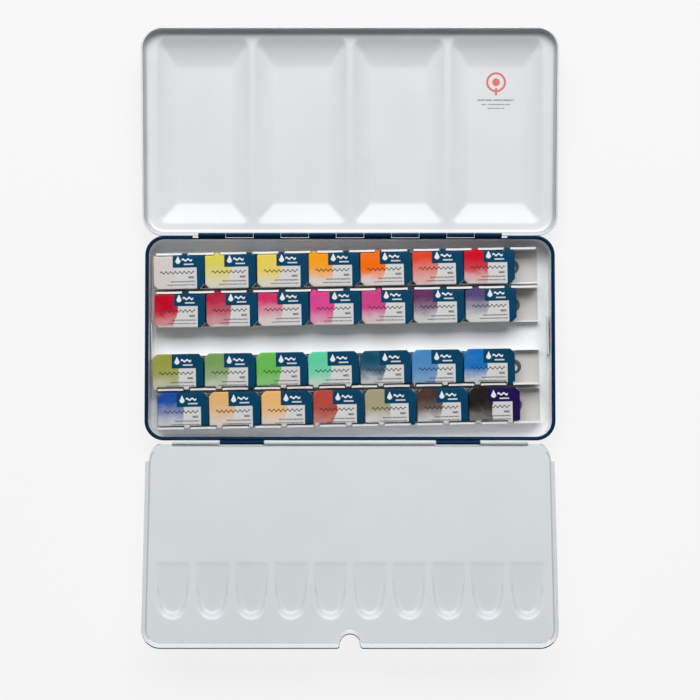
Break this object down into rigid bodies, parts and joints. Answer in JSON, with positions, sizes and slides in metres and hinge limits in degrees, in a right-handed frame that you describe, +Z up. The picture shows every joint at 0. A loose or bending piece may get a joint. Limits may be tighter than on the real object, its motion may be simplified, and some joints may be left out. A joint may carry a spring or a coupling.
{
  "type": "watercolour pan set",
  "caption": "Shallow folding metal paint box, open flat, with a welled mixing lid, a thumb-well mixing leaf and a lift-out tray of rails holding paper-wrapped paint pans",
  "frame": {"origin": "middle of the base's flat underside, where the closed or open box rests", "axes": "+X right, +Y toward the lid side, +Z up; mm in the source"},
  "size_m": [0.245, 0.3602, 0.0349],
  "materials": {
    "base_enamel": "gloss enamel, dark blue outside, white inside",
    "lid_enamel": "gloss enamel, dark blue outside, white mixing surface inside",
    "leaf_enamel": "gloss white enamel on both faces",
    "tray_steel": "bare satin tinplate",
    "pin_steel": "plain steel",
    "pan_wrap": "smooth printed paper sleeve"
  },
  "bodies": {
    "base": {"base_tray": "base_enamel", "rear_hinge_pin": "pin_steel", "front_hinge_pin": "pin_steel"},
    "lid_body": {"lid": "lid_enamel"},
    "leaf": {"mixing_leaf": "leaf_enamel"},
    "insert": {"insert_tray": "tray_steel", "pan_rail_1": "tray_steel", "pan_rail_2": "tray_steel", "pan_rail_3": "tray_steel", "pan_rail_4": "tray_steel", "rail_eyelets": "pin_steel"},
    "wrapped_pan_01": {"pan_01": "pan_wrap"},
    "wrapped_pan_02": {"pan_02": "pan_wrap"},
    "wrapped_pan_03": {"pan_03": "pan_wrap"},
    "wrapped_pan_04": {"pan_04": "pan_wrap"},
    "wrapped_pan_05": {"pan_05": "pan_wrap"},
    "wrapped_pan_06": {"pan_06": "pan_wrap"},
    "wrapped_pan_07": {"pan_07": "pan_wrap"},
    "wrapped_pan_08": {"pan_08": "pan_wrap"},
    "wrapped_pan_09": {"pan_09": "pan_wrap"},
    "wrapped_pan_10": {"pan_10": "pan_wrap"},
    "wrapped_pan_11": {"pan_11": "pan_wrap"},
    "wrapped_pan_12": {"pan_12": "pan_wrap"},
    "wrapped_pan_13": {"pan_13": "pan_wrap"},
    "wrapped_pan_14": {"pan_14": "pan_wrap"},
    "wrapped_pan_15": {"pan_15": "pan_wrap"},
    "wrapped_pan_16": {"pan_16": "pan_wrap"},
    "wrapped_pan_17": {"pan_17": "pan_wrap"},
    "wrapped_pan_18": {"pan_18": "pan_wrap"},
    "wrapped_pan_19": {"pan_19": "pan_wrap"},
    "wrapped_pan_20": {"pan_20": "pan_wrap"},
    "wrapped_pan_21": {"pan_21": "pan_wrap"},
    "wrapped_pan_22": {"pan_22": "pan_wrap"},
    "wrapped_pan_23": {"pan_23": "pan_wrap"},
    "wrapped_pan_24": {"pan_24": "pan_wrap"},
    "wrapped_pan_25": {"pan_25": "pan_wrap"},
    "wrapped_pan_26": {"pan_26": "pan_wrap"},
    "wrapped_pan_27": {"pan_27": "pan_wrap"},
    "wrapped_pan_28": {"pan_28": "pan_wrap"}
  },
  "joints": [
    {"name": "flap_hinge", "type": "hinge", "parent": "base", "child": "leaf", "pos_m": [0, -0.0613, 0.0167], "axis": [1, 0, 0], "range_deg": [-171.3, 0]},
    {"name": "insert_lift", "type": "slide", "parent": "base", "child": "insert", "axis": [0, 0, 1], "range_m": [0, 0.03]},
    {"name": "lid_hinge", "type": "hinge", "parent": "base", "child": "lid_body", "pos_m": [0, 0.0603, 0.0151], "axis": [-1, 0, 0], "range_deg": [-174.5, 0]},
    {"name": "pan_01_lift", "type": "slide", "parent": "insert", "child": "wrapped_pan_01", "axis": [0, 0, 1], "range_m": [0, 0.025]},
    {"name": "pan_02_lift", "type": "slide", "parent": "insert", "child": "wrapped_pan_02", "axis": [0, 0, 1], "range_m": [0, 0.025]},
    {"name": "pan_03_lift", "type": "slide", "parent": "insert", "child": "wrapped_pan_03", "axis": [0, 0, 1], "range_m": [0, 0.025]},
    {"name": "pan_04_lift", "type": "slide", "parent": "insert", "child": "wrapped_pan_04", "axis": [0, 0, 1], "range_m": [0, 0.025]},
    {"name": "pan_05_lift", "type": "slide", "parent": "insert", "child": "wrapped_pan_05", "axis": [0, 0, 1], "range_m": [0, 0.025]},
    {"name": "pan_06_lift", "type": "slide", "parent": "insert", "child": "wrapped_pan_06", "axis": [0, 0, 1], "range_m": [0, 0.025]},
    {"name": "pan_07_lift", "type": "slide", "parent": "insert", "child": "wrapped_pan_07", "axis": [0, 0, 1], "range_m": [0, 0.025]},
    {"name": "pan_08_lift", "type": "slide", "parent": "insert", "child": "wrapped_pan_08", "axis": [0, 0, 1], "range_m": [0, 0.025]},
    {"name": "pan_09_lift", "type": "slide", "parent": "insert", "child": "wrapped_pan_09", "axis": [0, 0, 1], "range_m": [0, 0.025]},
    {"name": "pan_10_lift", "type": "slide", "parent": "insert", "child": "wrapped_pan_10", "axis": [0, 0, 1], "range_m": [0, 0.025]},
    {"name": "pan_11_lift", "type": "slide", "parent": "insert", "child": "wrapped_pan_11", "axis": [0, 0, 1], "range_m": [0, 0.025]},
    {"name": "pan_12_lift", "type": "slide", "parent": "insert", "child": "wrapped_pan_12", "axis": [0, 0, 1], "range_m": [0, 0.025]},
    {"name": "pan_13_lift", "type": "slide", "parent": "insert", "child": "wrapped_pan_13", "axis": [0, 0, 1], "range_m": [0, 0.025]},
    {"name": "pan_14_lift", "type": "slide", "parent": "insert", "child": "wrapped_pan_14", "axis": [0, 0, 1], "range_m": [0, 0.025]},
    {"name": "pan_15_lift", "type": "slide", "parent": "insert", "child": "wrapped_pan_15", "axis": [0, 0, 1], "range_m": [0, 0.025]},
    {"name": "pan_16_lift", "type": "slide", "parent": "insert", "child": "wrapped_pan_16", "axis": [0, 0, 1], "range_m": [0, 0.025]},
    {"name": "pan_17_lift", "type": "slide", "parent": "insert", "child": "wrapped_pan_17", "axis": [0, 0, 1], "range_m": [0, 0.025]},
    {"name": "pan_18_lift", "type": "slide", "parent": "insert", "child": "wrapped_pan_18", "axis": [0, 0, 1], "range_m": [0, 0.025]},
    {"name": "pan_19_lift", "type": "slide", "parent": "insert", "child": "wrapped_pan_19", "axis": [0, 0, 1], "range_m": [0, 0.025]},
    {"name": "pan_20_lift", "type": "slide", "parent": "insert", "child": "wrapped_pan_20", "axis": [0, 0, 1], "range_m": [0, 0.025]},
    {"name": "pan_21_lift", "type": "slide", "parent": "insert", "child": "wrapped_pan_21", "axis": [0, 0, 1], "range_m": [0, 0.025]},
    {"name": "pan_22_lift", "type": "slide", "parent": "insert", "child": "wrapped_pan_22", "axis": [0, 0, 1], "range_m": [0, 0.025]},
    {"name": "pan_23_lift", "type": "slide", "parent": "insert", "child": "wrapped_pan_23", "axis": [0, 0, 1], "range_m": [0, 0.025]},
    {"name": "pan_24_lift", "type": "slide", "parent": "insert", "child": "wrapped_pan_24", "axis": [0, 0, 1], "range_m": [0, 0.025]},
    {"name": "pan_25_lift", "type": "slide", "parent": "insert", "child": "wrapped_pan_25", "axis": [0, 0, 1], "range_m": [0, 0.025]},
    {"name": "pan_26_lift", "type": "slide", "parent": "insert", "child": "wrapped_pan_26", "axis": [0, 0, 1], "range_m": [0, 0.025]},
    {"name": "pan_27_lift", "type": "slide", "parent": "insert", "child": "wrapped_pan_27", "axis": [0, 0, 1], "range_m": [0, 0.025]},
    {"name": "pan_28_lift", "type": "slide", "parent": "insert", "child": "wrapped_pan_28", "axis": [0, 0, 1], "range_m": [0, 0.025]}
  ]
}
